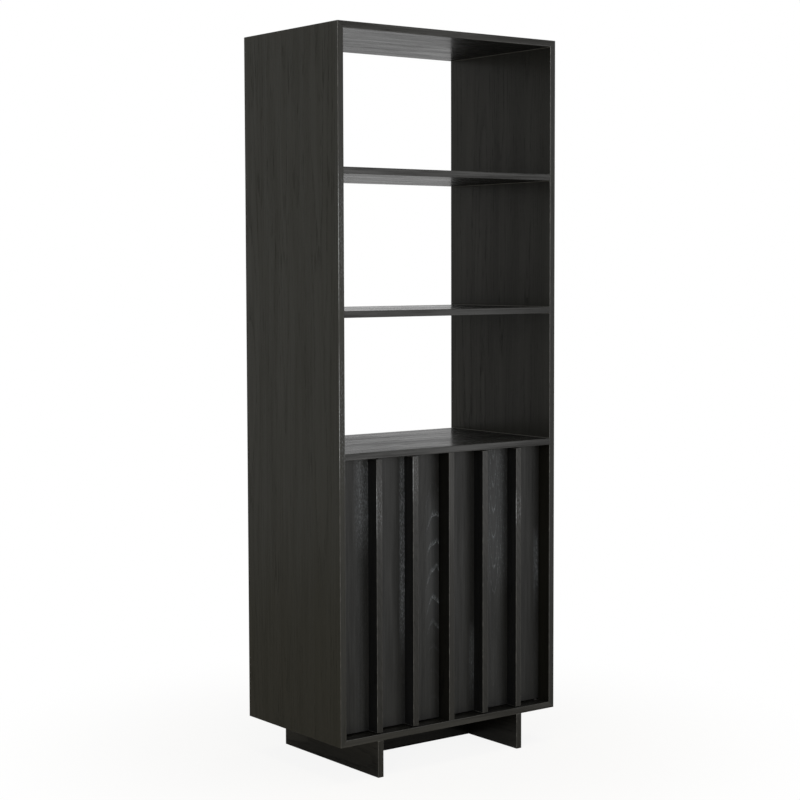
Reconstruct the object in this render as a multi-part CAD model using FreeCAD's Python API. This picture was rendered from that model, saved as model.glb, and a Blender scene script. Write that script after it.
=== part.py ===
import FreeCAD, Part
import os

Vector = FreeCAD.Vector

# Tall shelving cabinet: an open-backed upper part over a two-door cupboard, on an H-shaped base.
# Millimetres. +Z is up, the front faces -Y, and the origin is on the floor under the middle.

# Whole cabinet
overall_height = 2000.0
overall_width = 750.0
overall_depth = 448.0
board = 18.0
arris_radius = 1.2
leg_height = 100.0
bay_height = 356.0

# Upright rhythm of the cupboard front: side, fins, partition, fins, side
upright_steps = 6
partition_step = 3
outer_step = 1
inner_step = 2

# Doors and their fins
door_recess = 42.0
door_side_gap = 2.5
door_end_gap = 3.0
fin_setback = 3.0
fin_housing = 5.0

# Thin back of the cupboard, held in grooves
back_thickness = 6.0
back_inset = 10.0
back_housing = 7.0
back_play = 0.5

# Loose tongues across the mitred corners
spline_thickness = 4.0
spline_width = 16.0
spline_stop = 30.0
spline_place_share = 0.65
mitre_angle = 45.0

# Wooden dowels
dowel_radius = 4.0
dowel_length = 30.0
dowel_chamfer = 0.8
dowel_floor = 6.5
dowel_end_play = 0.5
dowel_margin = 70.0
dowels_per_joint = 3
stretcher_dowel_margin = 30.0
stretcher_dowels_per_end = 2

# Adjustable shelves behind the doors, their pins and pin holes
inner_shelf_setback = 12.0
inner_shelf_side_gap = 1.0
inner_shelf_rear_gap = 2.0
pin_radius = 2.5
pin_hole_floor = 2.5
pin_end_play = 0.5
pin_pitch = 64.0
pin_rows = 3
pin_margin = 37.0
pin_tongue_length = 10.0
pin_tongue_width = 8.0
pin_tongue_thickness = 3.0
pin_collar_thickness = 1.5
pin_collar_width = 9.0
pin_collar_drop = 8.0

# Pivot hinges
pivot_edge_inset = 8.0
pivot_face_inset = 6.0
pivot_pin_radius = 2.5
pivot_plate_length = 60.0
pivot_plate_width = 13.0
pivot_plate_thickness = 3.0
pivot_plate_inset = 1.5
pivot_plate_corner = 2.0
pivot_screw_first = 26.0
pivot_screw_margin = 11.0
bush_radius = 4.5
bush_floor = 5.0
bush_end_play = 1.0
bush_flange_radius = 6.5
bush_flange_thickness = 1.5

# Magnetic catches and their strike plates
catch_edge_inset = 45.0
catch_length = 46.0
catch_body_length = 26.0
catch_depth = 14.0
catch_height = 17.0
catch_foot_thickness = 4.0
catch_screw_margin = 5.0
catch_gap = 0.3
catch_corner = 1.0
magnet_length = 18.0
magnet_depth = 9.0
magnet_height = 7.0
magnet_proud = 0.5
strike_length = 34.0
strike_height = 9.0
strike_thickness = 1.0
strike_drop = 2.0
strike_screw_margin = 5.0

# Countersunk screws: shank radius, head radius, head height, length under the head's face
base_screw_shank = 2.25
base_screw_head = 4.5
base_screw_head_height = 2.7
base_screw_length = 58.0
base_screw_margin = 110.0
base_screws_per_board = 2
pivot_screw_shank = 1.75
pivot_screw_head = 3.4
pivot_screw_head_height = 2.0
pivot_screw_length = 28.0
catch_screw_shank = 1.5
catch_screw_head = 2.9
catch_screw_head_height = 1.7
catch_screw_length = 14.0
strike_screw_shank = 1.2
strike_screw_head = 2.2
strike_screw_head_height = 1.3
strike_screw_length = 12.0
recess_length_share = 1.1
recess_width_share = 0.26
recess_depth_share = 0.7
tip_share = 1.6
tip_radius_share = 0.2

# Clearances
fit_clearance = 0.05
running_clearance = 0.05
overrun = 20.0
touch = 0.001

# Places that follow from the sizes above
half_width = overall_width / 2
front = -overall_depth / 2
rear = overall_depth / 2
inner_left = board - half_width
inner_right = half_width - board
floor_top = leg_height + board
top_underside = overall_height - board
bay_pitch = bay_height + board
upper_shelf_top = top_underside - bay_height
middle_shelf_top = upper_shelf_top - bay_pitch
cupboard_top_top = middle_shelf_top - bay_pitch
ceiling = cupboard_top_top - board
carcass_middle = (leg_height + overall_height) / 2
upright_pitch = (overall_width - board) / upright_steps
partition_left = partition_step * upright_pitch - half_width
partition_right = partition_left + board
back_rear = rear - back_inset
back_front = back_rear - back_thickness
door_front = front + door_recess
door_back = door_front + board
door_left = inner_left + door_side_gap
door_right = partition_left - door_side_gap
door_bottom = floor_top + door_end_gap
door_top = ceiling - door_end_gap
door_middle = (door_front + door_back) / 2
fin_front = front + fin_setback
fin_rear = door_front + fin_housing
pivot_x = door_left + pivot_edge_inset
pivot_y = door_front + pivot_face_inset
bush_depth = board - bush_floor
pin_hole_depth = (board - pin_hole_floor) / 2
dowel_in_face = board - dowel_floor
inner_shelf_front = door_back + inner_shelf_setback
inner_shelf_rear = back_front - inner_shelf_rear_gap
cupboard_middle = (floor_top + ceiling) / 2
leg_left = outer_step * upright_pitch - half_width
leg_right = leg_left + board
leg_middle = (leg_left + leg_right) / 2
catch_middle = door_right - catch_edge_inset
strike_middle = door_top - strike_drop - strike_height / 2
magnet_front = door_back + strike_thickness + catch_gap
catch_front = magnet_front + magnet_proud
catch_rear = catch_front + catch_depth


def block(low, high):
    """Box between two opposite corners."""
    return Part.makeBox(high[0] - low[0], high[1] - low[1], high[2] - low[2], Vector(*low))


def lies_at(bound, axis, place):
    """True where an edge keeps to one place along an axis."""
    low = getattr(bound, axis + "Min")
    high = getattr(bound, axis + "Max")
    return abs(low - place) < touch and abs(high - place) < touch


def runs(bound, axis):
    """True where an edge runs along an axis."""
    return getattr(bound, axis + "Length") > touch


def eased(shape, chosen, radius=arris_radius):
    """Rounds the chosen edges."""
    edges = [edge for edge in shape.Edges if chosen(edge.BoundBox)]
    return shape.makeFillet(radius, edges)


def mirrored(shape):
    """The same piece on the other side of the cabinet's middle."""
    return shape.mirror(Vector(0, 0, 0), Vector(1, 0, 0))


def upturned(shape):
    """The same piece reflected about the carcass's middle height."""
    return shape.mirror(Vector(0, 0, carcass_middle), Vector(0, 0, 1))


def both_sides(shapes):
    """Pieces of the left half and their mirror images."""
    return shapes + [mirrored(shape) for shape in shapes]


def spread(low, high, count):
    """Evenly spaced places from low to high, both included."""
    return [low + (high - low) * index / (count - 1) for index in range(count)]


def dowel(start, direction):
    """Wooden dowel with chamfered ends, from its start along a direction."""
    rod = Part.makeCylinder(dowel_radius, dowel_length, start, direction)
    rims = [edge for edge in rod.Edges if edge.isClosed()]
    return rod.makeChamfer(dowel_chamfer, rims)


def dowel_bore(start, direction):
    """Bore for a dowel, with glue room at both ends."""
    length = dowel_length + 2 * dowel_end_play
    mouth = start - direction * dowel_end_play
    return Part.makeCylinder(dowel_radius + fit_clearance, length, mouth, direction)


def shelf_dowel_places():
    """Start points of the dowels between the left side and the three shelf boards."""
    levels = [top - board / 2 for top in (upper_shelf_top, middle_shelf_top, cupboard_top_top)]
    depths = spread(front + dowel_margin, rear - dowel_margin, dowels_per_joint)
    start = inner_left - dowel_in_face + dowel_end_play
    return [Vector(start, depth, level) for level in levels for depth in depths]


def partition_dowel_places():
    """Start points and directions of the dowels at the foot and head of the partition."""
    depths = spread(front + dowel_margin, back_front - dowel_margin, dowels_per_joint)
    foot = floor_top - dowel_in_face + dowel_end_play
    head = ceiling + dowel_in_face - dowel_end_play
    feet = [(Vector(0, depth, foot), Vector(0, 0, 1)) for depth in depths]
    heads = [(Vector(0, depth, head), Vector(0, 0, -1)) for depth in depths]
    return feet + heads


def stretcher_dowel_places():
    """Start points of the dowels between the left leg and the stretcher."""
    levels = spread(stretcher_dowel_margin, leg_height - stretcher_dowel_margin, stretcher_dowels_per_end)
    start = leg_right - dowel_in_face + dowel_end_play
    return [Vector(start, 0, level) for level in levels]


def shelf_dowels():
    return both_sides([dowel(place, Vector(1, 0, 0)) for place in shelf_dowel_places()])


def shelf_dowel_bores():
    return both_sides([dowel_bore(place, Vector(1, 0, 0)) for place in shelf_dowel_places()])


def partition_dowels():
    return [dowel(place, direction) for place, direction in partition_dowel_places()]


def partition_dowel_bores():
    return [dowel_bore(place, direction) for place, direction in partition_dowel_places()]


def stretcher_dowels():
    return both_sides([dowel(place, Vector(1, 0, 0)) for place in stretcher_dowel_places()])


def stretcher_dowel_bores():
    return both_sides([dowel_bore(place, Vector(1, 0, 0)) for place in stretcher_dowel_places()])


def mitre_tongues(clearance):
    """Four tongues square to the mitres, or their grooves when a clearance is given."""
    width = spline_width + 2 * clearance
    length = overall_depth - 2 * spline_stop + 2 * clearance
    thickness = spline_thickness + 2 * clearance
    tongue = Part.makeBox(width, length, thickness, Vector(-width / 2, -length / 2, -thickness / 2))
    tongue.rotate(Vector(0, 0, 0), Vector(0, 1, 0), -mitre_angle)
    inward = spline_place_share * board
    tongue.translate(Vector(inward - half_width, 0, overall_height - inward))
    return both_sides([tongue, upturned(tongue)])


def back_groove():
    """Space of the back panel's edges in the boards around it."""
    low = (inner_left - back_housing, back_front, floor_top - back_housing)
    high = (inner_right + back_housing, back_rear, ceiling + back_housing)
    return block(low, high)


def carcass_envelope():
    """Outline of the four frame boards together, with its arrises eased."""
    whole = block((-half_width, front, leg_height), (half_width, rear, overall_height))
    return eased(whole, lambda bound: True)


def mitred_board(outline):
    """Frame board from its outline seen from the front, cut to the carcass's outline."""
    points = [Vector(x, front - overrun, z) for x, z in outline]
    face = Part.Face(Part.makePolygon(points + points[:1]))
    prism = face.extrude(Vector(0, overall_depth + 2 * overrun, 0))
    return prism.common(carcass_envelope())


def pin_hole(face_x, depth_y, level, direction):
    """Blind hole for a shelf pin, drilled from a face."""
    mouth = Vector(face_x, depth_y, level)
    return Part.makeCylinder(pin_radius + fit_clearance, pin_hole_depth, mouth, direction)


def pin_columns():
    return (inner_shelf_front + pin_margin, inner_shelf_rear - pin_margin)


def pin_levels():
    span = (pin_rows - 1) * pin_pitch / 2
    return spread(cupboard_middle - span, cupboard_middle + span, pin_rows)


def pin_holes(face_x, direction):
    """Two columns of pin holes in one face."""
    return [pin_hole(face_x, column, level, direction) for column in pin_columns() for level in pin_levels()]


def left_side():
    low = leg_height - overrun
    high = overall_height + overrun
    outer = -half_width - overrun
    outline = [(outer, low), (inner_left, floor_top), (inner_left, top_underside), (outer, high)]
    side = mitred_board(outline)
    side = eased(side, lambda bound: runs(bound, "Z") and lies_at(bound, "X", inner_left))
    tools = mitre_tongues(fit_clearance) + shelf_dowel_bores() + [back_groove()]
    return side.cut(tools + pin_holes(inner_left, Vector(-1, 0, 0)))


def top_panel():
    high = overall_height + overrun
    reach = half_width + overrun
    outline = [(-reach, high), (inner_left, top_underside), (inner_right, top_underside), (reach, high)]
    panel = mitred_board(outline)
    panel = eased(panel, lambda bound: runs(bound, "X") and lies_at(bound, "Z", top_underside))
    return panel.cut(mitre_tongues(fit_clearance))


def bottom_panel():
    low = leg_height - overrun
    reach = half_width + overrun
    outline = [(-reach, low), (inner_left, floor_top), (inner_right, floor_top), (reach, low)]
    panel = mitred_board(outline)
    panel = eased(panel, lambda bound: runs(bound, "X") and lies_at(bound, "Z", floor_top))
    tools = mitre_tongues(fit_clearance) + partition_dowel_bores() + [back_groove()]
    return panel.cut(tools + base_screws(fit_clearance) + bush_holes())


def shelf_board(top):
    """Shelf between the sides, with its long arrises eased."""
    shelf = block((inner_left, front, top - board), (inner_right, rear, top))
    shelf = eased(shelf, lambda bound: runs(bound, "X"))
    return shelf.cut(shelf_dowel_bores())


def cupboard_top():
    shelf = shelf_board(cupboard_top_top)
    return shelf.cut(partition_dowel_bores() + [back_groove()] + bush_holes() + catch_screws(fit_clearance))


def centre_partition():
    partition = block((partition_left, front, floor_top), (partition_right, back_front, ceiling))
    partition = eased(partition, lambda bound: runs(bound, "Z") and lies_at(bound, "Y", front))
    holes = pin_holes(partition_left, Vector(1, 0, 0)) + pin_holes(partition_right, Vector(-1, 0, 0))
    return partition.cut(partition_dowel_bores() + holes)


def back_panel():
    depth = back_housing - back_play
    low = (inner_left - depth, back_front, floor_top - depth)
    high = (inner_right + depth, back_rear, ceiling + depth)
    return block(low, high)


def left_leg():
    leg = block((leg_left, front, 0), (leg_right, rear, leg_height))
    leg = eased(leg, lambda bound: not lies_at(bound, "Z", leg_height))
    return leg.cut(base_screws(fit_clearance) + stretcher_dowel_bores())


def stretcher():
    rail = block((leg_right, -board / 2, 0), (-leg_right, board / 2, leg_height))
    rail = eased(rail, lambda bound: runs(bound, "X") and lies_at(bound, "Z", 0))
    return rail.cut(base_screws(fit_clearance) + stretcher_dowel_bores())


def screw(sizes, head, direction, clearance):
    """Countersunk cross-recess screw, or the hole it needs when a clearance is given."""
    shank, head_radius, head_height, length = sizes
    shank = shank + clearance
    head_radius = head_radius + clearance
    tip = shank * tip_share
    cone = Part.makeCone(head_radius, shank, head_height, Vector(0, 0, 0), Vector(0, 0, 1))
    rod = Part.makeCylinder(shank, length - tip - head_height, Vector(0, 0, head_height))
    point = Part.makeCone(shank, shank * tip_radius_share, tip, Vector(0, 0, length - tip))
    body = cone.fuse([rod, point]).removeSplitter()
    if not clearance:
        reach = head_radius * recess_length_share
        width = head_radius * recess_width_share
        depth = head_height * recess_depth_share
        slot = Part.makeBox(reach, width, depth, Vector(-reach / 2, -width / 2, 0))
        cross = Part.makeBox(width, reach, depth, Vector(-width / 2, -reach / 2, 0))
        body = body.cut([slot, cross])
    body.Placement = FreeCAD.Placement(head, FreeCAD.Rotation(Vector(0, 0, 1), direction))
    return body


def base_screws(clearance):
    """Screws down through the bottom panel into both legs and the stretcher."""
    sizes = (base_screw_shank, base_screw_head, base_screw_head_height, base_screw_length)
    depths = spread(front + base_screw_margin, rear - base_screw_margin, base_screws_per_board)
    widths = spread(leg_right + base_screw_margin, -leg_right - base_screw_margin, base_screws_per_board)
    places = [Vector(side * leg_middle, depth, floor_top) for side in (1, -1) for depth in depths]
    places = places + [Vector(width, 0, floor_top) for width in widths]
    return [screw(sizes, place, Vector(0, 0, -1), clearance) for place in places]


def pivot_screws(clearance):
    """Screws of the left door's two pivot plates."""
    sizes = (pivot_screw_shank, pivot_screw_head, pivot_screw_head_height, pivot_screw_length)
    plate_left = door_left + pivot_plate_inset
    reach = (plate_left + pivot_screw_first, plate_left + pivot_plate_length - pivot_screw_margin)
    upper = [screw(sizes, Vector(x, door_middle, door_top), Vector(0, 0, -1), clearance) for x in reach]
    lower = [screw(sizes, Vector(x, door_middle, door_bottom), Vector(0, 0, 1), clearance) for x in reach]
    return upper + lower


def catch_screws(clearance):
    """Screws up through the feet of both catches into the cupboard's ceiling."""
    sizes = (catch_screw_shank, catch_screw_head, catch_screw_head_height, catch_screw_length)
    reach = catch_length / 2 - catch_screw_margin
    depth = (catch_front + catch_rear) / 2
    level = ceiling - catch_foot_thickness
    heads = [Vector(catch_middle + offset, depth, level) for offset in (-reach, reach)]
    return both_sides([screw(sizes, head, Vector(0, 0, 1), clearance) for head in heads])


def strike_screws(clearance):
    """Screws of the left strike plate, from the door's back."""
    sizes = (strike_screw_shank, strike_screw_head, strike_screw_head_height, strike_screw_length)
    reach = strike_length / 2 - strike_screw_margin
    face = door_back + strike_thickness
    heads = [Vector(catch_middle + offset, face, strike_middle) for offset in (-reach, reach)]
    return [screw(sizes, head, Vector(0, -1, 0), clearance) for head in heads]


def pivot_plate(level, clearance):
    """Round-cornered plate let into a door's end, from its lower face, or its mortise."""
    left = door_left + pivot_plate_inset
    low = (left - clearance, door_middle - pivot_plate_width / 2 - clearance, level)
    high = (left + pivot_plate_length + clearance, door_middle + pivot_plate_width / 2 + clearance)
    plate = block(low, high + (level + pivot_plate_thickness,))
    return eased(plate, lambda bound: runs(bound, "Z"), pivot_plate_corner)


def left_door_panel():
    panel = block((door_left, door_front, door_bottom), (door_right, door_back, door_top))
    panel = eased(panel, lambda bound: True)
    housings = []
    for step in (outer_step, inner_step):
        fin_left = step * upright_pitch - half_width
        low = (fin_left, door_front - overrun, door_bottom - overrun)
        housings.append(block(low, (fin_left + board, fin_rear, door_top + overrun)))
    levels = (door_bottom, door_top - pivot_plate_thickness)
    mortises = [pivot_plate(level, fit_clearance) for level in levels]
    return panel.cut(housings + mortises + pivot_screws(fit_clearance) + strike_screws(fit_clearance))


def door_fin(step):
    """Upright fin, housed in the door's face and almost flush with the cabinet's front."""
    left = step * upright_pitch - half_width
    fin = block((left, fin_front, door_bottom), (left + board, fin_rear, door_top))
    return eased(fin, lambda bound: lies_at(bound, "Y", fin_front))


def top_pivot():
    """Plate in the head of the left door, with its pin up into the ceiling's bush."""
    plate = pivot_plate(door_top - pivot_plate_thickness, 0)
    length = door_end_gap + bush_depth - bush_end_play
    root = Vector(pivot_x, pivot_y, door_top)
    pin = Part.makeCylinder(pivot_pin_radius, length, root, Vector(0, 0, 1))
    return plate.fuse(pin).cut(pivot_screws(fit_clearance))


def bottom_pivot():
    """Plate in the foot of the left door, with its pin down into the floor's bush."""
    plate = pivot_plate(door_bottom, 0)
    length = door_end_gap + bush_depth - bush_end_play
    root = Vector(pivot_x, pivot_y, door_bottom)
    pin = Part.makeCylinder(pivot_pin_radius, length, root, Vector(0, 0, -1))
    return plate.fuse(pin).cut(pivot_screws(fit_clearance))


def bush_hole(level, direction):
    """Blind hole of one bush in a board's face."""
    mouth = Vector(pivot_x, pivot_y, level)
    return Part.makeCylinder(bush_radius + fit_clearance, bush_depth, mouth, direction)


def bush_holes():
    """Blind holes of the four bushes, in the cupboard's floor and ceiling."""
    return both_sides([bush_hole(floor_top, Vector(0, 0, -1)), bush_hole(ceiling, Vector(0, 0, 1))])


def bush(level, direction):
    """Flanged bush: its flange lies on the board's face and its sleeve goes into the board."""
    seat = Vector(pivot_x, pivot_y, level)
    sleeve = Part.makeCylinder(bush_radius, bush_depth, seat, direction)
    flange = Part.makeCylinder(bush_flange_radius, bush_flange_thickness, seat, direction * -1)
    bore_start = seat - direction * (bush_flange_thickness + overrun)
    bore_length = bush_flange_thickness + bush_depth + 2 * overrun
    bore = Part.makeCylinder(pivot_pin_radius + running_clearance, bore_length, bore_start, direction)
    return sleeve.fuse(flange).cut(bore)


def pivot_bushes():
    return both_sides([bush(floor_top, Vector(0, 0, -1)), bush(ceiling, Vector(0, 0, 1))])


def pivot_washers():
    """Bearing washers that carry the doors on the lower bushes."""
    seat = Vector(pivot_x, pivot_y, floor_top + bush_flange_thickness)
    thickness = door_end_gap - bush_flange_thickness
    disc = Part.makeCylinder(bush_flange_radius, thickness, seat)
    hole = Part.makeCylinder(pivot_pin_radius + running_clearance, thickness, seat)
    return both_sides([disc.cut(hole)])


def magnet():
    """Magnet of the left catch, a little proud of its housing."""
    half = magnet_length / 2
    low = (catch_middle - half, magnet_front, strike_middle - magnet_height / 2)
    return block(low, (catch_middle + half, magnet_front + magnet_depth, strike_middle + magnet_height / 2))


def left_catch():
    """Housing with two screw feet, against the cupboard's ceiling."""
    half = catch_body_length / 2
    lower = ceiling - catch_height
    body = block((catch_middle - half, catch_front, lower), (catch_middle + half, catch_rear, ceiling))
    body = eased(body, lambda bound: runs(bound, "Z") or lies_at(bound, "Z", lower), catch_corner)
    half = catch_length / 2
    low = (catch_middle - half, catch_front, ceiling - catch_foot_thickness)
    feet = block(low, (catch_middle + half, catch_rear, ceiling))
    feet = eased(feet, lambda bound: runs(bound, "Z"), catch_corner)
    return body.fuse(feet).removeSplitter().cut([magnet()] + catch_screws(fit_clearance))


def left_strike():
    """Thin steel plate on the back of the left door."""
    half = strike_length / 2
    low = (catch_middle - half, door_back, strike_middle - strike_height / 2)
    plate = block(low, (catch_middle + half, door_back + strike_thickness, strike_middle + strike_height / 2))
    plate = eased(plate, lambda bound: runs(bound, "Y"), catch_corner)
    return plate.cut(strike_screws(fit_clearance))


def left_inner_shelf():
    """Loose shelf behind the left door, on the pins of the middle row."""
    level = cupboard_middle + pin_radius
    low = (inner_left + inner_shelf_side_gap, inner_shelf_front, level)
    high = (partition_left - inner_shelf_side_gap, inner_shelf_rear, level + board)
    return eased(block(low, high), lambda bound: runs(bound, "X"))


def shelf_pin(face_x, column, inward):
    """Spade pin: a shank in the hole, a collar on the face and a tongue under the shelf."""
    top = cupboard_middle + pin_radius
    length = pin_hole_depth - pin_end_play
    mouth = Vector(face_x, column, cupboard_middle)
    shank = Part.makeCylinder(pin_radius, length, mouth, Vector(-inward, 0, 0))
    near, far = sorted((face_x, face_x + inward * pin_tongue_length))
    half = pin_tongue_width / 2
    tongue = block((near, column - half, top - pin_tongue_thickness), (far, column + half, top))
    near, far = sorted((face_x, face_x + inward * pin_collar_thickness))
    half = pin_collar_width / 2
    collar = block((near, column - half, top - pin_collar_drop), (far, column + half, top))
    return shank.fuse([tongue, collar]).removeSplitter()


def shelf_pins():
    """Four pins for each inner shelf."""
    outer = [shelf_pin(inner_left, column, 1) for column in pin_columns()]
    inner = [shelf_pin(partition_left, column, -1) for column in pin_columns()]
    return both_sides(outer + inner)


def pieces():
    """Every node of the cabinet, by name."""
    left_hand = {
        "side": left_side(),
        "leg": left_leg(),
        "inner_shelf": left_inner_shelf(),
        "catch": left_catch(),
        "strike": left_strike(),
        "strike_screws": Part.makeCompound(strike_screws(0)),
        "door_panel": left_door_panel(),
        "door_outer_fin": door_fin(outer_step),
        "door_inner_fin": door_fin(inner_step),
        "door_top_pivot": top_pivot(),
        "door_bottom_pivot": bottom_pivot(),
        "door_pivot_screws": Part.makeCompound(pivot_screws(0)),
    }
    nodes = {
        "top_panel": top_panel(),
        "bottom_panel": bottom_panel(),
        "upper_shelf": shelf_board(upper_shelf_top),
        "middle_shelf": shelf_board(middle_shelf_top),
        "cupboard_top": cupboard_top(),
        "centre_partition": centre_partition(),
        "back_panel": back_panel(),
        "stretcher": stretcher(),
    }
    groups = {
        "corner_splines": mitre_tongues(0),
        "shelf_dowels": shelf_dowels(),
        "partition_dowels": partition_dowels(),
        "stretcher_dowels": stretcher_dowels(),
        "base_screws": base_screws(0),
        "pivot_bushes": pivot_bushes(),
        "pivot_washers": pivot_washers(),
        "catch_magnets": both_sides([magnet()]),
        "catch_screws": catch_screws(0),
        "shelf_pins": shelf_pins(),
    }
    for name, shape in left_hand.items():
        nodes["left_" + name] = shape
        nodes["right_" + name] = mirrored(shape)
    for name, solids in groups.items():
        nodes[name] = Part.makeCompound(solids)
    return nodes


os.makedirs("parts", exist_ok=True)
for node, shape in pieces().items():
    shape.exportStep("parts/" + node + ".step")
    print(node, len(shape.Solids), shape.isValid(), round(shape.Volume))
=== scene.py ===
import math
import random

import bpy
from mathutils import Matrix, Vector


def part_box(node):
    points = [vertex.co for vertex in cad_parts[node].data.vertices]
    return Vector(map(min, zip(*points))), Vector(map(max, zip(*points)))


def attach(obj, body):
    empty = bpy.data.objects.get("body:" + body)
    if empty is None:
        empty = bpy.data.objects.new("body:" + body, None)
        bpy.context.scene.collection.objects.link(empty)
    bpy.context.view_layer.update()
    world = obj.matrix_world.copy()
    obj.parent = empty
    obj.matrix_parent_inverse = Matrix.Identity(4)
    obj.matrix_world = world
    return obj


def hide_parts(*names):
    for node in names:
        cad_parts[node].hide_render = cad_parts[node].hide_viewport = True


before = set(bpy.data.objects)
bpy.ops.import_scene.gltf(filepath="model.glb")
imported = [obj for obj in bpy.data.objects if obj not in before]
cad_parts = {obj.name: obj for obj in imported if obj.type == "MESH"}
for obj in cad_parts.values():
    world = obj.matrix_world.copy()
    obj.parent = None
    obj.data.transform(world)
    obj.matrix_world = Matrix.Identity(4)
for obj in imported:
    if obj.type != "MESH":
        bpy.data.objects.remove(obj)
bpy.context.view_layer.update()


# Frame: two full-height sides with a top and a bottom, mitred together at the four corners.
# Each is an 18 mm core board with oak veneer on its faces and a thin oak band on its edges. The veneer lies
# in leaves side by side, is brushed until its pores stand open, stained black and lacquered satin.
X, Y, Z = range(3)
STAIN_DEEP = (0.0030, 0.0029, 0.0023, 1)
STAIN_THIN = (0.0064, 0.0061, 0.0047, 1)
PORE_DARK = (0.0016, 0.0016, 0.0015, 1)
# Pale pore filler, partly painted glints on the pore edges
PORE_PALE_AND_GLINT = (0.21, 0.225, 0.245, 1)
RING_WIDTH = 0.0052
RING_SWAY = 0.026
RING_WAVER_SHARE = 0.35
EARLY_WOOD_SHARE = 0.45
RING_CREST_SHARE = 0.24
HEART_PLACE_SHARES = (0.1, 0.9)
HEART_DEPTH_SHARES = (0.15, 0.6)
HEART_LEAN_SHARES = (0.46, 0.54)
HEART_LEAST_DEPTH = 0.004
HEART_DEPTH_RANGE = 0.25
HEART_LEAN_RANGE = 0.3
CHECK_WIDTH = 0.0105
WOOD_ROUGHNESS = 0.60
PORE_ROUGHENS = 0.25
STREAK_ROUGHENS = 0.12
WOOD_GLOSS = 0.05
WOOD_RELIEF = 0.0007
LACQUER_ROUGHNESS = 0.22
LACQUER_LOST_IN_PORES = 0.6
UPRIGHT_SHEEN = (0.25, 0.13)
SHELF_SHEEN = (0.10, 0.46)
BAND_THICKNESS = 0.0008
BAND_CUT = 0.09
BAND_PALE = (0.0168, 0.0164, 0.0142, 1)
# Painted light: a paler band that stands in for light the bottom front edge reflects
BAND_PAINTED_LIGHT = (0.028, 0.0274, 0.0242, 1)
ARRIS_ROUND = 0.0004
ARRIS_REACH = 0.0015
# Pale arrises: partly real wear, partly a painted highlight where the rounded arris would catch the lamps
ARRIS_WORN_AND_HIGHLIGHT = (0.10, 0.098, 0.092, 1)
# A painted glint on rubbed stretches of the arrises, partly bare rubbed oak
ARRIS_BARE_AND_GLINT = (0.46, 0.48, 0.50, 1)
# A painted highlight: the reflection in a lacquer bead along an inner corner
BEAD_HIGHLIGHT_REACH = 0.0016
BEAD_HIGHLIGHT = (0.075, 0.073, 0.066, 1)
SEED_STEP = 0.37
OUT_OF_REACH = 1.0


class Tone:
    """One value of a finish or of a shape; sums and products of it become Math nodes."""

    def __init__(self, tree, socket=None):
        self.tree = tree
        self.socket = socket

    def node(self, kind, settings=None, inputs=None, output=0):
        """Any other node: its settings first, then the values or links of its sockets."""
        made = self.tree.nodes.new(kind)
        for name, value in (settings or {}).items():
            if name == "stops":
                ramp = made.color_ramp
                while len(ramp.elements) < len(value):
                    ramp.elements.new(1.0)
                for stop, (place, colour) in zip(ramp.elements, value):
                    stop.position = place
                    stop.color = colour
            elif name == "interpolation":
                made.color_ramp.interpolation = value
            else:
                setattr(made, name, value)
        for name, value in (inputs or {}).items():
            for term in value if isinstance(value, list) else [value]:
                if isinstance(term, Tone):
                    self.tree.links.new(term.socket, made.inputs[name])
                else:
                    made.inputs[name].default_value = term
        return None if output is None else Tone(self.tree, made.outputs[output])

    def maths(self, operation, *terms):
        """A Math node on the terms, or on this value alone."""
        return self.node("ShaderNodeMath", {"operation": operation}, dict(enumerate(terms or (self,))))

    def __add__(self, other):
        return self.maths("ADD", self, other)

    def __radd__(self, other):
        return self.maths("ADD", other, self)

    def __sub__(self, other):
        return self.maths("SUBTRACT", self, other)

    def __rsub__(self, other):
        return self.maths("SUBTRACT", other, self)

    def __mul__(self, other):
        return self.maths("MULTIPLY", self, other)

    def __rmul__(self, other):
        return self.maths("MULTIPLY", other, self)

    def __truediv__(self, other):
        return self.maths("DIVIDE", self, other)

    def __rtruediv__(self, other):
        return self.maths("DIVIDE", other, self)

    def __abs__(self):
        return self.maths("ABSOLUTE", self)

    def least(self, other):
        return self.maths("MINIMUM", self, other)

    def most(self, other):
        return self.maths("MAXIMUM", self, other)

    def under(self, limit):
        return self.maths("LESS_THAN", self, limit)

    def fade(self, low, high):
        """Rises smoothly from 0 to 1 between two values."""
        limits = {"Value": self, "From Min": low, "From Max": high}
        return self.node("ShaderNodeMapRange", {"interpolation_type": "SMOOTHSTEP"}, limits)

    def parts(self):
        """The three parts of a place or a colour."""
        split = self.node("ShaderNodeSeparateXYZ", None, {"Vector": self}).socket.node
        return [Tone(self.tree, socket) for socket in split.outputs]

    def vector(self, x, y, z):
        """A place from its three parts."""
        return self.node("ShaderNodeCombineXYZ", None, {"X": x, "Y": y, "Z": z})

    def grains(self, place, seed, detail=2.0, scale=1.0):
        """Cloudy variation from 0 to 1."""
        inputs = {"Vector": place, "W": seed, "Scale": scale, "Detail": detail}
        return self.node("ShaderNodeTexNoise", {"noise_dimensions": "4D"}, inputs)

    def blend(self, mask, first, second):
        """A value that goes from first to second with a mask."""
        return self.node("ShaderNodeMix", {"data_type": "FLOAT"}, {0: mask, 2: first, 3: second})

    def tint(self, mask, first, second):
        """A colour that goes from first to second with a mask."""
        return self.node("ShaderNodeMix", {"data_type": "RGBA"}, {0: mask, 6: first, 7: second}, output=2)


def new_finish(name):
    """An empty finish, and the tone that its nodes start from."""
    material = bpy.data.materials.new(name)
    material.use_nodes = True
    material.node_tree.nodes.clear()
    return material, Tone(material.node_tree)


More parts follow.
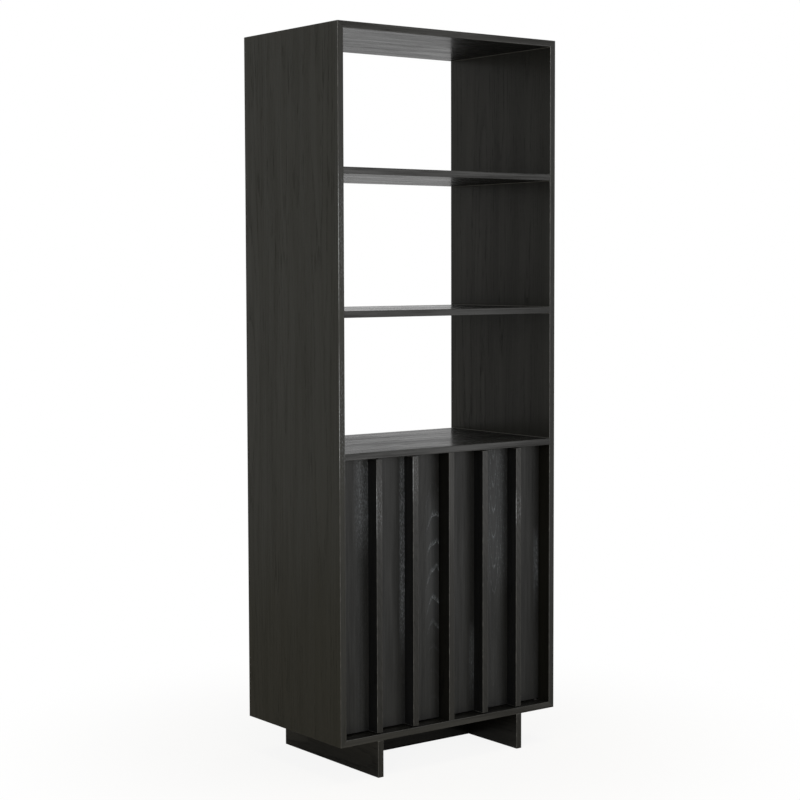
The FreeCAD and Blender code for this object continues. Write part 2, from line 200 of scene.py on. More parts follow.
def close_finish(start, surface, height, strength, distance):
    """Surface of a finish, with its relief."""
    relief = {"Height": height, "Strength": strength, "Distance": distance}
    normal = start.node("ShaderNodeBump", None, relief)
    shader = start.node("ShaderNodeBsdfPrincipled", None, {**surface, "Normal": normal})
    start.node("ShaderNodeOutputMaterial", None, {"Surface": shader}, output=None)


def dress(piece, material):
    """Gives a piece of the cabinet its finish."""
    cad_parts[piece].material_slots[0].material = material


def laid_leaves(seed, count):
    """Veneer leaves side by side, as shares: where each starts, where its heart lies, its depth and lean."""
    chance = random.Random(seed)
    leaves = []
    for number in range(count):
        heart = (number + chance.uniform(*HEART_PLACE_SHARES)) / count
        depth = chance.uniform(*HEART_DEPTH_SHARES)
        lean = chance.uniform(*HEART_LEAN_SHARES)
        leaves.append((number / count, heart, depth, lean))
    return leaves


def by_leaf(start, share, leaves, values):
    """Values that hold over one leaf each, three together and a fourth as alpha."""
    stops = [(leaf[0], value) for leaf, value in zip(leaves, values)]
    return start.node("ShaderNodeValToRGB", {"stops": stops, "interpolation": "CONSTANT"}, {"Fac": share})


def pale_and_glint_strips(start, share, rise, leaves, strips, crest, specks):
    """How far pale pores cover the stain, in one upright strip to a leaf: partly pale filler, partly painted
    glints.
    """
    figure = by_leaf(start, share, leaves, [strip[:4] for strip in strips])
    centre, width, foot = figure.parts()
    stray = Tone(start.tree, figure.socket.node.outputs["Alpha"])
    head = by_leaf(start, share, leaves, [(strip[4], 0, 0, 1) for strip in strips]).parts()[0]
    inner = 1 - (abs(share - centre) / width).fade(0.3, 1.0)
    upper = (rise - foot).fade(-0.12, 0.12) * (1 - (rise - head).fade(-0.03, 0.06))
    lit = stray + (1 - stray) * crest
    return (0.08 + lit * (0.12 + 0.7 * specks)) * inner * (0.1 + 0.9 * upper)


def veneer(board, grain, across, leaves, joined=(), band=None, stains=(STAIN_DEEP, STAIN_THIN), mottle=0.35,
           ring_width=RING_WIDTH, pore_depth=1.0, checks=0.15, check_width=CHECK_WIDTH, gloss=WOOD_GLOSS,
           cast=(1, 1, 1, 1), sheen=UPRIGHT_SHEEN, lacquer=LACQUER_ROUGHNESS, edge=BAND_PALE,
           edge_sheen=1.0, wear_and_glint=0.4, chalky_and_glints=(), rubbed_and_glints=(), corners=()):
    """Veneers a board in black oak. Its fibres run along grain, and its leaves lie side by side, across.

    Joined holds the axes whose ends meet other boards, and so have no arris. Band holds the axis of the
    banded ends and that of the band's fibres, where they aren't across and grain.
    Stains are the stain where it lies deep and where it lies thin, and mottle is the share of clouds in it.
    Ring width is a year's growth, pore depth how far the pores darken, checks how far the few long open
    pores show, and check width how far apart these lie.
    Gloss and cast are the shine of the stained wood itself and its colour. Sheen is the least of the
    lacquer, and how much more the stain's streaks carry of it. Lacquer is its roughness.
    Edge is the colour of the bands, edge sheen their share of the lacquer, and wear how far the arrises
    shine and turn pale: partly real wear, partly a painted highlight.
    Chalky gives each leaf a strip of pale pores, partly pale filler and partly painted glints on the pore
    edges: its middle, its width and its lower end, as shares, how far the pale pores stray from the crests
    of the rings, and the strip's upper end.
    Rubbed gives the stretches of the edges that turn pale, partly rubbed wear and partly a painted glint:
    their middle and reach along the board.
    Corners gives the places along the board where its inner face meets another; there a thin pale line is
    a painted highlight, the reflection of a bead of lacquer.
    """
    low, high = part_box(board)
    middle, half = (low + high) / 2, (high - low) / 2
    deep = X + Y + Z - grain - across
    band_axis, band_grain = band or (across, grain)
    seed = sum(ord(letter) for letter in board) * SEED_STEP
    material, start = new_finish("black_oak_" + board)
    place = start.node("ShaderNodeTexCoord", output="Object")
    axes = place.parts()
    inside = [half[axis] - abs(axes[axis] - middle[axis]) for axis in (X, Y, Z)]

    # Faces show the leaves, and the edges a band of straight-grained oak
    banded = inside[band_axis].under(BAND_THICKNESS)
    along = axes[grain]
    if band_grain != grain:
        along = start.blend(banded, axes[grain], axes[band_grain])
    width = start.blend(banded, axes[across], axes[deep] - middle[deep] + high[across] + BAND_CUT)
    span = 2 * half[across]
    share = (width - low[across]) / span
    heart, depth, lean = by_leaf(start, share, leaves, [(*leaf[1:4], 1) for leaf in leaves]).parts()
    beside = (share - heart) * span

    def drawn_out(wide, long, turn, detail):
        """Variation drawn out along the fibres, with so many changes to a metre across and along them."""
        drawn = start.vector(beside * wide, axes[deep] * wide, along * long)
        return start.grains(drawn, seed + turn, detail)

    # Year rings cut by the face: flames near the heart of a leaf, straight lines away from it
    tilt = (lean - 0.5) * HEART_LEAN_RANGE * (along - middle[grain])
    above = depth * HEART_DEPTH_RANGE + HEART_LEAST_DEPTH + tilt
    sway = start.grains(start.vector(beside * 7, axes[deep] * 7, along * 1.1 + heart * 9), seed, detail=2)
    waver = drawn_out(wide=60, long=9, turn=3, detail=2)
    distance = (beside * beside + above * above).maths("SQRT")
    radius = distance + sway * RING_SWAY + waver * (ring_width * RING_WAVER_SHARE)
    ring = (radius / ring_width).maths("FRACT")
    early = 1 - ring.fade(0.0, EARLY_WOOD_SHARE)

    # Open pores follow the early wood, thickest in bundles, and a few long checks lie over them
    bundles = 1 - drawn_out(wide=13, long=0.9, turn=19, detail=2).fade(0.38, 0.60)
    dashes = drawn_out(wide=700, long=26, turn=5, detail=1).fade(0.46, 0.6)
    lines = early * (0.15 + 0.85 * dashes) * (0.6 + 0.4 * bundles)
    gaps = drawn_out(wide=1 / check_width, long=11, turn=15, detail=2).fade(0.60, 0.70)
    pores = lines.most(gaps * checks * (0.25 + 0.75 * bundles))

    # The stain lies thin in streaks, fine lines and clouds
    streak = drawn_out(wide=34, long=2.3, turn=7, detail=4).fade(0.36, 0.64)
    fine = drawn_out(wide=170, long=5.0, turn=21, detail=2).fade(0.36, 0.64)
    cloud = drawn_out(wide=7, long=2.0, turn=9, detail=3).fade(0.3, 0.7)
    thin = cloud * mottle + (streak * 0.54 + fine * 0.46) * (1 - mottle)
    oak = start.tint(pores * pore_depth, start.tint(thin, *stains), PORE_DARK)

    # Pale pores lie on the crests of the rings, as fine specks: partly pale filler, partly painted glints
    if chalky_and_glints:
        crest = 1 - ring.fade(0.0, RING_CREST_SHARE)
        specks = drawn_out(wide=760, long=130, turn=13, detail=2).fade(0.52, 0.60)
        rise = (axes[grain] - low[grain]) / (2 * half[grain])
        oak = start.tint(pale_and_glint_strips(start, share, rise, leaves, chalky_and_glints, crest, specks), oak, PORE_PALE_AND_GLINT)
    oak = start.tint(banded * (0.4 + 0.6 * thin), oak, edge)

    # Arrises, where the second nearest face is near too, shine with gathered lacquer and turn pale in
    # places:
    # partly real wear, partly a painted highlight, and over the rubbed stretches a painted glint
    near = [inside[axis] + OUT_OF_REACH if axis in joined else inside[axis] for axis in (X, Y, Z)]
    second = near[X].least(near[Y]).most(near[X].most(near[Y]).least(near[Z]))
    arris = 1 - second.fade(ARRIS_ROUND, ARRIS_REACH)
    patches = start.grains(place, seed + 11, detail=3, scale=55.0).fade(0.48, 0.66)
    oak = start.tint(arris * wear_and_glint * (0.35 + 0.65 * patches), oak, ARRIS_WORN_AND_HIGHLIGHT)
    # Painted glints over stretches of the arrises, partly rubbed wear, with pale specks on the bands
    for stretch, reach in rubbed_and_glints:
        flecks = drawn_out(wide=420, long=140, turn=17, detail=3).fade(0.53, 0.62)
        rub_and_glint_stretch = 1 - (abs(axes[grain] - stretch) / reach).fade(0.2, 1.0)
        oak = start.tint(banded * flecks * 0.32 * rub_and_glint_stretch, oak, PORE_PALE_AND_GLINT)
        oak = start.tint(arris * (0.45 + 0.45 * flecks) * rub_and_glint_stretch, oak, ARRIS_BARE_AND_GLINT)
    # A painted highlight: a thin pale line along each inner corner, where a lacquer bead reflects light
    for spot in corners:
        inner_face = abs(axes[deep]).under(abs(middle[deep])) * (1 - banded)
        oak = start.tint(abs(axes[grain] - spot).under(BEAD_HIGHLIGHT_REACH) * inner_face, oak, BEAD_HIGHLIGHT)

    # The lacquer lies thicker on the streaks, sinks into the pores and stands full on the arrises
    gathered = (sheen[0] + sheen[1] * thin) * (1 - (1 - edge_sheen) * banded)
    coat = gathered * (1 - LACQUER_LOST_IN_PORES * pore_depth * pores)
    surface = {
        "Base Color": oak,
        "Roughness": WOOD_ROUGHNESS + pores * PORE_ROUGHENS * pore_depth + (streak - 0.5) * STREAK_ROUGHENS,
        "Specular IOR Level": gloss,
        "Specular Tint": cast,
        "Coat Weight": coat.most(arris * wear_and_glint),
        "Coat Roughness": lacquer,
    }
    close_finish(start, surface, height=streak * 0.4 - pores, strength=0.4, distance=WOOD_RELIEF)
    dress(board, material)


SIDE_CAST = (1.0, 0.97, 0.70, 1)
SIDE_EDGE = (0.0168, 0.0170, 0.0182, 1)
SIDE_CHECKS = 0.0064
LEFT_GLOSS = 0.18
LEFT_SHEEN = (0.095, 0.04)
LEFT_LEAF_SHARES = [(0.0, 0.20, 0.55, 0.48), (0.27, 0.56, 0.16, 0.46), (0.74, 0.95, 0.50, 0.53)]
# Stretches of the left front arris with a painted glint, partly rubbed wear: middle and reach in metres
LEFT_RUBS_AND_GLINTS = ((1.44, 0.24), (0.98, 0.24))
RIGHT_GLOSS = 0.10
RIGHT_SHEEN = (0.14, 0.07)
shelf_faces = [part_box(shelf)[face][Z] for shelf, face in (
    ("top_panel", 0), ("upper_shelf", 1), ("upper_shelf", 0), ("middle_shelf", 1), ("middle_shelf", 0),
    ("cupboard_top", 1))]
both_sides = {"joined": (Z,), "corners": shelf_faces, "cast": SIDE_CAST, "edge": SIDE_EDGE,
              "check_width": SIDE_CHECKS}
veneer("left_side", Z, Y, LEFT_LEAF_SHARES, checks=0.85, wear_and_glint=0.7, rubbed_and_glints=LEFT_RUBS_AND_GLINTS, sheen=LEFT_SHEEN,
       gloss=LEFT_GLOSS, pore_depth=0.85, **both_sides)
veneer("right_side", Z, Y, laid_leaves(seed=22, count=4), checks=0.65, wear_and_glint=1.0, sheen=RIGHT_SHEEN,
       gloss=RIGHT_GLOSS, mottle=0.65, **both_sides)
# The bottom panel's front band is painted paler, standing in for reflected light
for number, (panel, edge) in enumerate((("top_panel", BAND_PALE), ("bottom_panel", BAND_PAINTED_LIGHT))):
    leaves = laid_leaves(seed=31 + number, count=3)
    veneer(panel, X, Y, leaves, sheen=SHELF_SHEEN, checks=0.9, edge=edge)


# Corner splines: loose tongues of birch plywood, glued in grooves square to the mitres.
# They are cut from 4 mm ply, stop short of the front and back edges, and so never show.
PLY_PALE = (0.62, 0.47, 0.30, 1)
PLY_DARK = (0.42, 0.28, 0.16, 1)
PLY_SHEET = 0.0013
ply, start = new_finish("birch_ply")
x, y, z = start.node("ShaderNodeTexCoord", output="Object").parts()
fibres = start.grains(start.vector(x * 700, y * 30, z * 700), seed=2.0, detail=3)
sheet = (((abs(x) + z) * math.sqrt(0.5)) / PLY_SHEET).maths("FRACT")
glue = abs(sheet - 0.5).fade(0.36, 0.46)
surface = {
    "Base Color": start.tint(fibres.fade(0.3, 0.7) * 0.5 + glue * 0.5, PLY_PALE, PLY_DARK),
    "Roughness": 0.6 + fibres * 0.2,
}
close_finish(start, surface, height=fibres, strength=0.3, distance=0.0004)
dress("corner_splines", ply)


# Shelves: two boards between the sides of the open bays, and a third that is the cupboard's ceiling.
# They are the same veneered board as the frame, with the grain from side to side, and stand on dowels.
# The middle one took more lacquer on its faces, and is rubbed smoother.
SHELF_EDGE = (0.0100, 0.0098, 0.0086, 1)
MIDDLE_SHEEN = (0.24, 0.56)
MIDDLE_EDGE_SHEEN = 0.55
MIDDLE_LACQUER = 0.16
shelf_lacquers = {
    "upper_shelf": {"sheen": SHELF_SHEEN},
    "middle_shelf": {"sheen": MIDDLE_SHEEN, "edge_sheen": MIDDLE_EDGE_SHEEN, "lacquer": MIDDLE_LACQUER},
    "cupboard_top": {"sheen": SHELF_SHEEN},
}
for number, (shelf, coats) in enumerate(shelf_lacquers.items()):
    leaves = laid_leaves(seed=41 + number, count=3)
    veneer(shelf, X, Y, leaves, joined=(X,), checks=0.9, edge=SHELF_EDGE, wear_and_glint=0.2, **coats)


# Partition: the upright board between the two doors, dowelled to the floor and the ceiling of the cupboard.
# Its front edge is flush with the frame and shows between the doors as one more upright.
veneer("centre_partition", Z, Y, laid_leaves(seed=51, count=3), joined=(Z,), wear_and_glint=1.0)


# Dowels: fluted beech pins with chamfered ends, glued half into each board of a butt joint.
# The flutes let the spare glue out. Three hold each end of a shelf, and three each end of the partition.
BEECH = (0.52, 0.34, 0.19, 1)
BEECH_FLECK = (0.34, 0.20, 0.10, 1)
DOWEL_RADIUS = 0.004
DOWEL_LENGTH = 0.030
DOWEL_FLUTES = 16
DOWEL_FLUTE_SHARE = 0.07
DOWEL_CHAMFER = 0.0009
DOWEL_CHAMFER_LENGTH = 0.002
beech, start = new_finish("plain_beech")
place = start.node("ShaderNodeTexCoord", output="Object")
flecks = start.grains(place, seed=1.0, detail=2, scale=900.0)
surface = {
    "Base Color": start.tint(flecks.fade(0.5, 0.7), BEECH, BEECH_FLECK),
    "Roughness": 0.6 + flecks * 0.15,
}
close_finish(start, surface, height=flecks, strength=0.25, distance=0.0002)


def new_shape(name, sizes):
    """An empty shape with named sizes, to be set at points that each have a heading."""
    tree = bpy.data.node_groups.new(name, "GeometryNodeTree")
    tree.interface.new_socket("Points", in_out="INPUT", socket_type="NodeSocketGeometry")
    for size in sizes:
        tree.interface.new_socket(size, in_out="INPUT", socket_type="NodeSocketFloat")
    tree.interface.new_socket("Finish", in_out="INPUT", socket_type="NodeSocketMaterial")
    tree.interface.new_socket("Pieces", in_out="OUTPUT", socket_type="NodeSocketGeometry")
    start = Tone(tree)
    given = start.node("NodeGroupInput").socket.node.outputs
    return tree, start, {socket.name: Tone(tree, socket) for socket in given if socket.name}


def close_shape(start, given, shape):
    """One of the shape at each point, along its heading, and each turned by chance as a hand leaves it."""
    heading = start.node("GeometryNodeInputNamedAttribute", {"data_type": "FLOAT_VECTOR"},
                         {"Name": "heading"})
    aimed = start.node("FunctionNodeAlignRotationToVector", {"axis": "Z"}, {"Vector": heading})
    chance = start.node("FunctionNodeRandomValue", {"data_type": "FLOAT"}, {2: 0.0, 3: math.tau, 8: 7},
                        output=1)
    twist = start.node("FunctionNodeAxisAngleToRotation", None, {"Axis": (0.0, 0.0, 1.0), "Angle": chance})
    turned = start.node("FunctionNodeRotateRotation", {"rotation_space": "LOCAL"},
                        {"Rotation": aimed, "Rotate By": twist})
    planted = start.node("GeometryNodeInstanceOnPoints", None,
                         {"Points": given["Points"], "Instance": shape, "Rotation": turned})
    whole = start.node("GeometryNodeRealizeInstances", None, {"Geometry": planted})
    dressed = start.node("GeometryNodeSetMaterial", None, {"Geometry": whole, "Material": given["Finish"]})
    start.node("NodeGroupOutput", None, {"Pieces": dressed}, output=None)


def set_in(name, shape, places, sizes, finish, body, node):
    """Sets a shape in at each place and heading, as one mesh that stands for a node of the cabinet."""
    points = bpy.data.meshes.new(name)
    points.from_pydata([place for place, heading in places], [], [])
    headings = points.attributes.new("heading", "FLOAT_VECTOR", "POINT")
    for item, (place, heading) in zip(headings.data, places):
        item.vector = heading
    piece = bpy.data.objects.new(name, points)
    bpy.context.scene.collection.objects.link(piece)
    making = piece.modifiers.new("making", "NODES")
    making.node_group = shape
    for item in shape.interface.items_tree:
        if item.name in sizes:
            making[item.identifier] = sizes[item.name]
        elif item.name == "Finish":
            making[item.identifier] = finish
    made = piece.evaluated_get(bpy.context.evaluated_depsgraph_get())
    mesh = bpy.data.meshes.new_from_object(made)
    piece.modifiers.remove(making)
    mesh.materials.clear()
    mesh.materials.append(finish)
    piece.data = mesh
    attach(piece, body)
    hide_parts(node)


dowel_sizes = {"Radius": DOWEL_RADIUS, "Length": DOWEL_LENGTH, "Flutes": DOWEL_FLUTES,
               "Chamfer": DOWEL_CHAMFER}
dowel, start, given = new_shape("fluted_dowel", dowel_sizes)
rod = start.node("GeometryNodeMeshCylinder", {"fill_type": "NGON"},
                 {"Vertices": 64, "Side Segments": 14, "Radius": 1.0, "Depth": 1.0})
x, y, z = start.node("GeometryNodeInputPosition").parts()
flute = 0.5 - 0.5 * (x.maths("ARCTAN2", y, x) * given["Flutes"]).maths("COSINE")
to_end = (0.5 - abs(z)) * given["Length"]
tapered = given["Chamfer"] * (1 - to_end.fade(0.0, DOWEL_CHAMFER_LENGTH))
girth = given["Radius"] * (1 - DOWEL_FLUTE_SHARE * flute) - tapered
formed = start.node("GeometryNodeSetPosition", None,
                    {"Geometry": rod, "Position": start.vector(x * girth, y * girth, z * given["Length"])})
close_shape(start, given, formed)

low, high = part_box("shelf_dowels")
places = []
for shelf in shelf_lacquers:
    level = sum(corner[Z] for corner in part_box(shelf)) / 2
    for row in (low[Y] + DOWEL_RADIUS, 0.0, high[Y] - DOWEL_RADIUS):
        places += [((low[X] + DOWEL_LENGTH / 2, row, level), (1, 0, 0)),
                   ((high[X] - DOWEL_LENGTH / 2, row, level), (-1, 0, 0))]
set_in("fluted_shelf_dowels", dowel, places, dowel_sizes, beech, "carcass", "shelf_dowels")

low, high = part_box("partition_dowels")
first, last = low[Y] + DOWEL_RADIUS, high[Y] - DOWEL_RADIUS
places = []
for row in (first, (first + last) / 2, last):
    places += [((0.0, row, low[Z] + DOWEL_LENGTH / 2), (0, 0, 1)),
               ((0.0, row, high[Z] - DOWEL_LENGTH / 2), (0, 0, -1))]
set_in("fluted_partition_dowels", dowel, places, dowel_sizes, beech, "carcass", "partition_dowels")


# Cupboard back: a thin veneered panel that slides in grooves in the sides, the floor and the ceiling.
# Its leaves stand upright, and it is seen from behind and, with a door open, from the front.
veneer("back_panel", Z, X, laid_leaves(seed=61, count=5), joined=(X, Y, Z))


# Base: two legs on edge from front to back, and a stretcher between them, all of the frame's board.
# Two dowels hold each end of the stretcher.
for number, leg in enumerate(("left_leg", "right_leg")):
    veneer(leg, Y, Z, laid_leaves(seed=71 + number, count=1), band=(Y, Z), wear_and_glint=1.0)
veneer("stretcher", X, Z, laid_leaves(seed=73, count=1), joined=(X,))
low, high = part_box("stretcher_dowels")
places = []
for level in (low[Z] + DOWEL_RADIUS, high[Z] - DOWEL_RADIUS):
    places += [((low[X] + DOWEL_LENGTH / 2, 0.0, level), (1, 0, 0)),
               ((high[X] - DOWEL_LENGTH / 2, 0.0, level), (-1, 0, 0))]
set_in("fluted_stretcher_dowels", dowel, places, dowel_sizes, beech, "carcass", "stretcher_dowels")


# Base screws: six countersunk wood screws of zinc-plated steel, with a cross recess and a rolled thread.
# They go down through the cupboard's floor, two into each leg and two into the stretcher.
STEEL = (0.56, 0.56, 0.57, 1)
STEEL_DULL = (0.40, 0.40, 0.42, 1)
STRETCHER_SCREW_PLACE = 0.125
THREAD_SHARE = 0.26
POINT_SHANKS = 3
POINT_TIP_SHARE = 0.06
RECESS_SHARES = ((1.05, 0.27, 1.3), (0.27, 1.05, 1.25))
base_screw = {"Shank": 0.00225, "Head": 0.0045, "Head height": 0.0027, "Length": 0.058, "Pitch": 0.0022}
steel, start = new_finish("zinc_plated_steel")
place = start.node("ShaderNodeTexCoord", output="Object")
x, y, z = place.parts()
clouds = start.grains(place, seed=1.0, detail=3, scale=260.0)
drawn = start.grains(start.vector(x * 300, y * 4000, z * 4000), seed=2.0, detail=2)
surface = {
    "Base Color": start.tint(clouds.fade(0.35, 0.7), STEEL, STEEL_DULL),
    "Metallic": 1.0,
    "Roughness": 0.28 + clouds * 0.16 + drawn * 0.08,
}
close_finish(start, surface, height=drawn, strength=0.12, distance=0.0002)

screw, start, given = new_shape("countersunk_screw", base_screw)
rod = start.node("GeometryNodeMeshCylinder", {"fill_type": "NGON"},
                 {"Vertices": 24, "Side Segments": 110, "Radius": 1.0, "Depth": 1.0})
x, y, z = start.node("GeometryNodeInputPosition").parts()
depth = (0.5 - z) * given["Length"]
winding = (depth / given["Pitch"] - x.maths("ARCTAN2", y, x) / math.tau).maths("FRACT")
thread = given["Shank"] * (1 - THREAD_SHARE * abs(winding * 2 - 1))
point = ((given["Length"] - depth) / (given["Shank"] * POINT_SHANKS)).least(1.0).most(POINT_TIP_SHARE)
cone = given["Head"] - (given["Head"] - given["Shank"]) * depth / given["Head height"]
girth = cone.most(thread * point)
turned = start.node("GeometryNodeSetPosition", None,
                    {"Geometry": rod, "Position": start.vector(x * girth, y * girth, 0 - depth)})
slots = []
for long, narrow, deep in RECESS_SHARES:
    size = start.vector(given["Head"] * long, given["Head"] * narrow, given["Head height"] * deep)
    slots.append(start.node("GeometryNodeMeshCube", None, {"Size": size}))
recessed = start.node("GeometryNodeMeshBoolean", {"operation": "DIFFERENCE", "solver": "EXACT"},
                      {"Mesh 1": turned, "Mesh 2": slots, "Self Intersection": True})
close_shape(start, given, recessed)

low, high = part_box("base_screws")
leg_row = high[Y] - base_screw["Head"]
leg_line = sum(corner[X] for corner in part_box("right_leg")) / 2
places = [((side * leg_line, row, high[Z]), (0, 0, 1)) for side in (-1, 1) for row in (-leg_row, leg_row)]
places += [((side * STRETCHER_SCREW_PLACE, 0.0, high[Z]), (0, 0, 1)) for side in (-1, 1)]
set_in("threaded_base_screws", screw, places, base_screw, steel, "carcass", "base_screws")


# Inner shelves: one loose board behind each door, set back from it, veneered like the rest.
# Each one lies on four plain steel pins, pushed into rows of holes in the side and the partition.
for number, shelf in enumerate(("left_inner_shelf", "right_inner_shelf")):
    veneer(shelf, X, Y, laid_leaves(seed=81 + number, count=3), sheen=SHELF_SHEEN)
dress("shelf_pins", steel)


# Door panels: flat boards, each one veneered in three upright leaves that meet under its fins.
# Their grain is brushed deeper than the frame's, and its open pores show pale against the stain:
# partly pale filler, partly painted glints on the pore edges.
PANEL_DEEP = (0.0075, 0.0075, 0.0069, 1)
PANEL_THIN = (0.0131, 0.0131, 0.0120, 1)
PANEL_LACQUER = 0.42
PANEL_SHEEN = (0.22, 0.27)
PANEL_RINGS = 0.0036
LEFT_PANEL_LEAF_SHARES = [(0.0, 0.60, 0.50, 0.47), (0.30, 0.25, 0.30, 0.53), (0.66, 0.955, 0.86, 0.65)]
# Per leaf, a strip of pale pores: partly pale filler, partly painted glints
LEFT_PANEL_STRIP_SHARES = [(0.26, 0.12, 0.72, 0.45, 2.0), (0.634, 0.045, 0.34, 0.7, 2.0),
                           (0.97, 0.13, 0.35, 0.0, 0.82)]
RIGHT_PANEL_LEAF_SHARES = [(0.0, 0.02, 0.50, 0.46), (0.34, 0.50, 0.12, 0.34), (0.70, 0.98, 0.44, 0.53)]
RIGHT_PANEL_STRIP_SHARES = [(0.29, 0.06, 0.10, 0.2, 0.30), (0.53, 0.17, 0.50, 0.05, 2.0),
                            (0.965, 0.04, 0.44, 0.3, 0.64)]
panels = (("left_door_panel", LEFT_PANEL_LEAF_SHARES, LEFT_PANEL_STRIP_SHARES),
          ("right_door_panel", RIGHT_PANEL_LEAF_SHARES, RIGHT_PANEL_STRIP_SHARES))
for panel, leaves, strips in panels:
    veneer(panel, Z, X, leaves, stains=(PANEL_DEEP, PANEL_THIN), lacquer=PANEL_LACQUER, sheen=PANEL_SHEEN,
           ring_width=PANEL_RINGS, pore_depth=0.35, chalky_and_glints=strips)


# Fins: upright strips of the same board, two to a door, glued in grooves in its face.
# They stand out almost to the cabinet's front, and a hand takes hold of them, as there is no handle.
# Three of them turn pale over a stretch of the front edge, in the upper half: partly rubbed wear,
# and partly a painted glint.
FIN_DEEP = (0.0036, 0.0037, 0.0037, 1)
FIN_THIN = (0.0070, 0.0071, 0.0071, 1)
fin_rubs_and_glints = {
    "left_door_outer_fin": ((0.73, 0.11),),
    "left_door_inner_fin": ((0.80, 0.09),),
    "right_door_inner_fin": (),
    "right_door_outer_fin": ((0.69, 0.06),),
}
for number, (fin, rub_and_glint) in enumerate(fin_rubs_and_glints.items()):
    leaves = laid_leaves(seed=91 + number, count=1)
    veneer(fin, Z, Y, leaves, stains=(FIN_DEEP, FIN_THIN), wear_and_glint=1.0, rubbed_and_glints=rub_and_glint)


# Pivots: steel plates with a pin, let into the two ends of each door and held by two screws each.
# The pins turn in flanged bushes of black nylon, and each door rides on a turned brass washer.
pivot_screw = {"Shank": 0.00175, "Head": 0.0034, "Head height": 0.0020, "Length": 0.028, "Pitch": 0.0016}
for hand in ("left", "right"):
    dress(hand + "_door_top_pivot", steel)
    dress(hand + "_door_bottom_pivot", steel)
    low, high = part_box(hand + "_door_pivot_screws")
    row = (low[Y] + high[Y]) / 2
    lines = (low[X] + pivot_screw["Head"], high[X] - pivot_screw["Head"])
    places = [((line, row, high[Z]), (0, 0, 1)) for line in lines]
    places += [((line, row, low[Z]), (0, 0, -1)) for line in lines]
    set_in("threaded_%s_door_pivot_screws" % hand, screw, places, pivot_screw, steel, hand + "_door",
           hand + "_door_pivot_screws")

NYLON = (0.018, 0.018, 0.019, 1)
NYLON_RUBBED = (0.034, 0.034, 0.035, 1)
nylon, start = new_finish("black_nylon")
place = start.node("ShaderNodeTexCoord", output="Object")
sparks = start.grains(place, seed=1.0, detail=2, scale=2600.0)
clouds = start.grains(place, seed=2.0, detail=2, scale=140.0)
surface = {
    "Base Color": start.tint(clouds.fade(0.4, 0.75), NYLON, NYLON_RUBBED),
    "Roughness": 0.44 + sparks * 0.18,
}
close_finish(start, surface, height=sparks, strength=0.25, distance=0.0001)
dress("pivot_bushes", nylon)

BRASS = (0.050, 0.042, 0.030, 1)
BRASS_DULL = (0.024, 0.021, 0.017, 1)
brass, start = new_finish("darkened_brass")
place = start.node("ShaderNodeTexCoord", output="Object")
clouds = start.grains(place, seed=1.0, detail=3, scale=420.0)
surface = {
    "Base Color": start.tint(clouds.fade(0.4, 0.7), BRASS, BRASS_DULL),
    "Metallic": 1.0,
    "Roughness": 0.26 + clouds * 0.2,
}
close_finish(start, surface, height=clouds, strength=0.1, distance=0.0001)
dress("pivot_washers", brass)


# Catches: a black nylon housing for each door, with a ferrite magnet, screwed under the cupboard's ceiling.
# The magnet holds a small steel strike plate, which two screws fix to the back of the door.
FERRITE = (0.045, 0.045, 0.048, 1)
FERRITE_PALE = (0.10, 0.10, 0.105, 1)
ferrite, start = new_finish("sintered_ferrite")
place = start.node("ShaderNodeTexCoord", output="Object")
crumbs = start.grains(place, seed=1.0, detail=4, scale=1500.0)
surface = {
    "Base Color": start.tint(crumbs.fade(0.4, 0.7), FERRITE, FERRITE_PALE),
    "Roughness": 0.55 + crumbs * 0.3,
}
close_finish(start, surface, height=crumbs, strength=0.4, distance=0.0002)
dress("catch_magnets", ferrite)

catch_screw = {"Shank": 0.0015, "Head": 0.0029, "Head height": 0.0017, "Length": 0.014, "Pitch": 0.0014}
low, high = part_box("catch_screws")
row = (low[Y] + high[Y]) / 2
places = []
for hand in ("left", "right"):
    dress(hand + "_catch", nylon)
    centre = sum(corner[X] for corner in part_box(hand + "_catch")) / 2
    spread = high[X] - catch_screw["Head"] - abs(centre)
    places += [((centre + way * spread, row, low[Z]), (0, 0, -1)) for way in (-1, 1)]
set_in("threaded_catch_screws", screw, places, catch_screw, steel, "carcass", "catch_screws")

strike_screw = {"Shank": 0.0012, "Head": 0.0022, "Head height": 0.0013, "Length": 0.012, "Pitch": 0.0012}
for hand in ("left", "right"):
    dress(hand + "_strike", steel)
    low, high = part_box(hand + "_strike_screws")
    level = (low[Z] + high[Z]) / 2
    lines = (low[X] + strike_screw["Head"], high[X] - strike_screw["Head"])
    places = [((line, high[Y], level), (0, 1, 0)) for line in lines]
    set_in("threaded_%s_strike_screws" % hand, screw, places, strike_screw, steel, hand + "_door",
           hand + "_strike_screws")


# Floor: a plain pale studio floor, one flat sheet that the cabinet stands on and throws its shadow on.
# The eye sees it run out into white. In the lacquer it mirrors darker round a spot behind the left side.
FLOOR = (0.78, 0.72, 0.58, 1)
FLOOR_REACH = 30.0
FLOOR_WHITE_LEAST = 0.90
FLOOR_WHITE_FROM, FLOOR_WHITE_TO = 0.35, 1.4
DARK_SPOT = (-0.9, 1.0)
DARK_SPOT_LEAST = 0.07
DARK_SPOT_FROM, DARK_SPOT_TO = 1.0, 3.2
WHITE = (1, 1, 1, 1)
floor_mesh = bpy.data.meshes.new("floor")
corners = [(-FLOOR_REACH, -FLOOR_REACH, 0), (FLOOR_REACH, -FLOOR_REACH, 0),
           (FLOOR_REACH, FLOOR_REACH, 0), (-FLOOR_REACH, FLOOR_REACH, 0)]
floor_mesh.from_pydata(corners, [], [(0, 1, 2, 3)])
floor = bpy.data.objects.new("floor", floor_mesh)
bpy.context.scene.collection.objects.link(floor)
floor_finish, start = new_finish("studio_floor")
x, y, z = start.node("ShaderNodeTexCoord", output="Object").parts()
